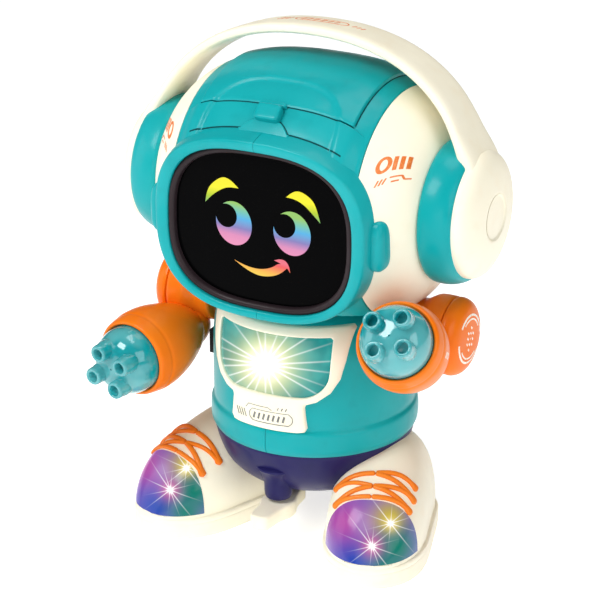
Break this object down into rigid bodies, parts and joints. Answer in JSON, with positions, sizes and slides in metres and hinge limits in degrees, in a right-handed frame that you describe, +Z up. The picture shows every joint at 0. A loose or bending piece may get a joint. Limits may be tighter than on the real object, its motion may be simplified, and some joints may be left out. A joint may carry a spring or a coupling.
{
  "type": "toy robot",
  "caption": "Round-headed toy robot with headphones, a dark face screen, a chest lamp, swinging arms with clear nozzle hands, and shoes with driven wheels inside.",
  "frame": {"origin": "on the floor, at the middle of the whole robot's bounding box; the body's own axis stands 5.78 mm behind it", "axes": "+Z up, the robot faces -Y, and +X is the robot's left"},
  "size_m": [0.1688, 0.1304, 0.2257],
  "materials": {
    "teal_shell": "glossy moulded",
    "cream_shell": "glossy moulded",
    "orange_shell": "glossy moulded",
    "orange_laces": "glossy moulded",
    "navy_shell": "glossy moulded",
    "black_trim": "fine matt grain",
    "screen_gasket": "satin",
    "screen": "polished",
    "clear_teal": "clear tinted, polished",
    "toe_lens": "clear, lit from inside",
    "reflector": "bright plated",
    "circuit_board": "lacquered",
    "cells": "printed sleeve",
    "contacts": "nickel plated",
    "steel": "zinc plated",
    "tyre": "soft, matt",
    "gear_white": "self coloured"
  },
  "bodies": {
    "root": {"torso_left": "teal_shell", "torso_right": "teal_shell", "battery_door": "teal_shell", "chest_frame": "cream_shell", "shoe_left": "cream_shell", "shoe_right": "cream_shell", "sole_left": "cream_shell", "sole_right": "cream_shell", "laces_left": "orange_laces", "laces_right": "orange_laces", "base_bowl": "navy_shell", "neck_post": "black_trim", "shoulder_brackets": "black_trim", "battery_box": "black_trim", "speaker": "black_trim", "power_switch": "black_trim", "chest_lens": "clear_teal", "toe_cap_left": "toe_lens", "toe_cap_right": "toe_lens", "chest_reflector": "reflector", "chest_lamp_board": "circuit_board", "main_board": "circuit_board", "batteries": "cells", "battery_contacts": "contacts", "case_screws": "steel", "lever_pin": "steel", "wheel_motors": "steel"},
    "head": {"helmet_left": "teal_shell", "helmet_right": "teal_shell", "side_panel_left": "cream_shell", "side_panel_right": "cream_shell", "screen_surround": "teal_shell", "crown_panel": "teal_shell", "brow_plate": "teal_shell", "screen_gasket": "screen_gasket", "face_screen": "screen", "face_light_board": "circuit_board", "headband": "cream_shell", "ear_pad_left": "teal_shell", "ear_pad_right": "teal_shell", "ear_cap_left": "cream_shell", "ear_cap_right": "cream_shell"},
    "left_arm": {"shoulder_drum_left": "orange_shell", "drum_cap_left": "orange_shell", "arm_axle_left": "steel", "forearm_left": "orange_shell", "hand_dome_left": "clear_teal"},
    "right_arm": {"shoulder_drum_right": "orange_shell", "drum_cap_right": "orange_shell", "arm_axle_right": "steel", "forearm_right": "orange_shell", "hand_dome_right": "clear_teal"},
    "lever": {"swing_lever": "cream_shell"},
    "switch": {"switch_knob": "black_trim"},
    "left_wheel": {"wheel_left": "orange_shell", "tyre_left": "tyre"},
    "right_wheel": {"wheel_right": "orange_shell", "tyre_right": "tyre"},
    "left_pinion": {"pinion_left": "gear_white"},
    "right_pinion": {"pinion_right": "gear_white"}
  },
  "joints": [
    {"name": "neck_turn", "type": "hinge", "parent": "root", "child": "head", "pos_m": [0, 0.00578, 0.1128], "axis": [0, 0, 1], "range_deg": [-8, 8]},
    {"name": "left_arm_swing", "type": "hinge", "parent": "root", "child": "left_arm", "pos_m": [0.05, 0.00578, 0.097], "axis": [1, 0, 0], "range_deg": [-4, 46.5]},
    {"name": "right_arm_swing", "type": "hinge", "parent": "root", "child": "right_arm", "pos_m": [-0.05, 0.00578, 0.097], "axis": [1, 0, 0], "range_deg": [-40.5, 10]},
    {"name": "lever_swing", "type": "hinge", "parent": "root", "child": "lever", "pos_m": [0, -0.02812, 0.016], "axis": [0, 0, 1], "range_deg": [-15, 15]},
    {"name": "switch_slide", "type": "slide", "parent": "root", "child": "switch", "axis": [1, 0, 0], "range_m": [0, 0.004]},
    {"name": "left_wheel_spin", "type": "hinge", "parent": "root", "child": "left_wheel", "pos_m": [0.0328, 0.01178, 0.0095], "axis": [1, 0, 0], "continuous": true},
    {"name": "right_wheel_spin", "type": "hinge", "parent": "root", "child": "right_wheel", "pos_m": [-0.0328, 0.01178, 0.0095], "axis": [1, 0, 0], "continuous": true},
    {"name": "left_pinion_spin", "type": "hinge", "parent": "root", "child": "left_pinion", "pos_m": [0.0383, 0.00221, 0.01261], "axis": [1, 0, 0], "continuous": true},
    {"name": "right_pinion_spin", "type": "hinge", "parent": "root", "child": "right_pinion", "pos_m": [-0.0383, 0.00221, 0.01261], "axis": [1, 0, 0], "continuous": true}
  ],
  "couplings": [
    {"joint": "left_pinion_spin", "follows": "left_wheel_spin", "ratio": -3},
    {"joint": "right_pinion_spin", "follows": "right_wheel_spin", "ratio": -3}
  ]
}
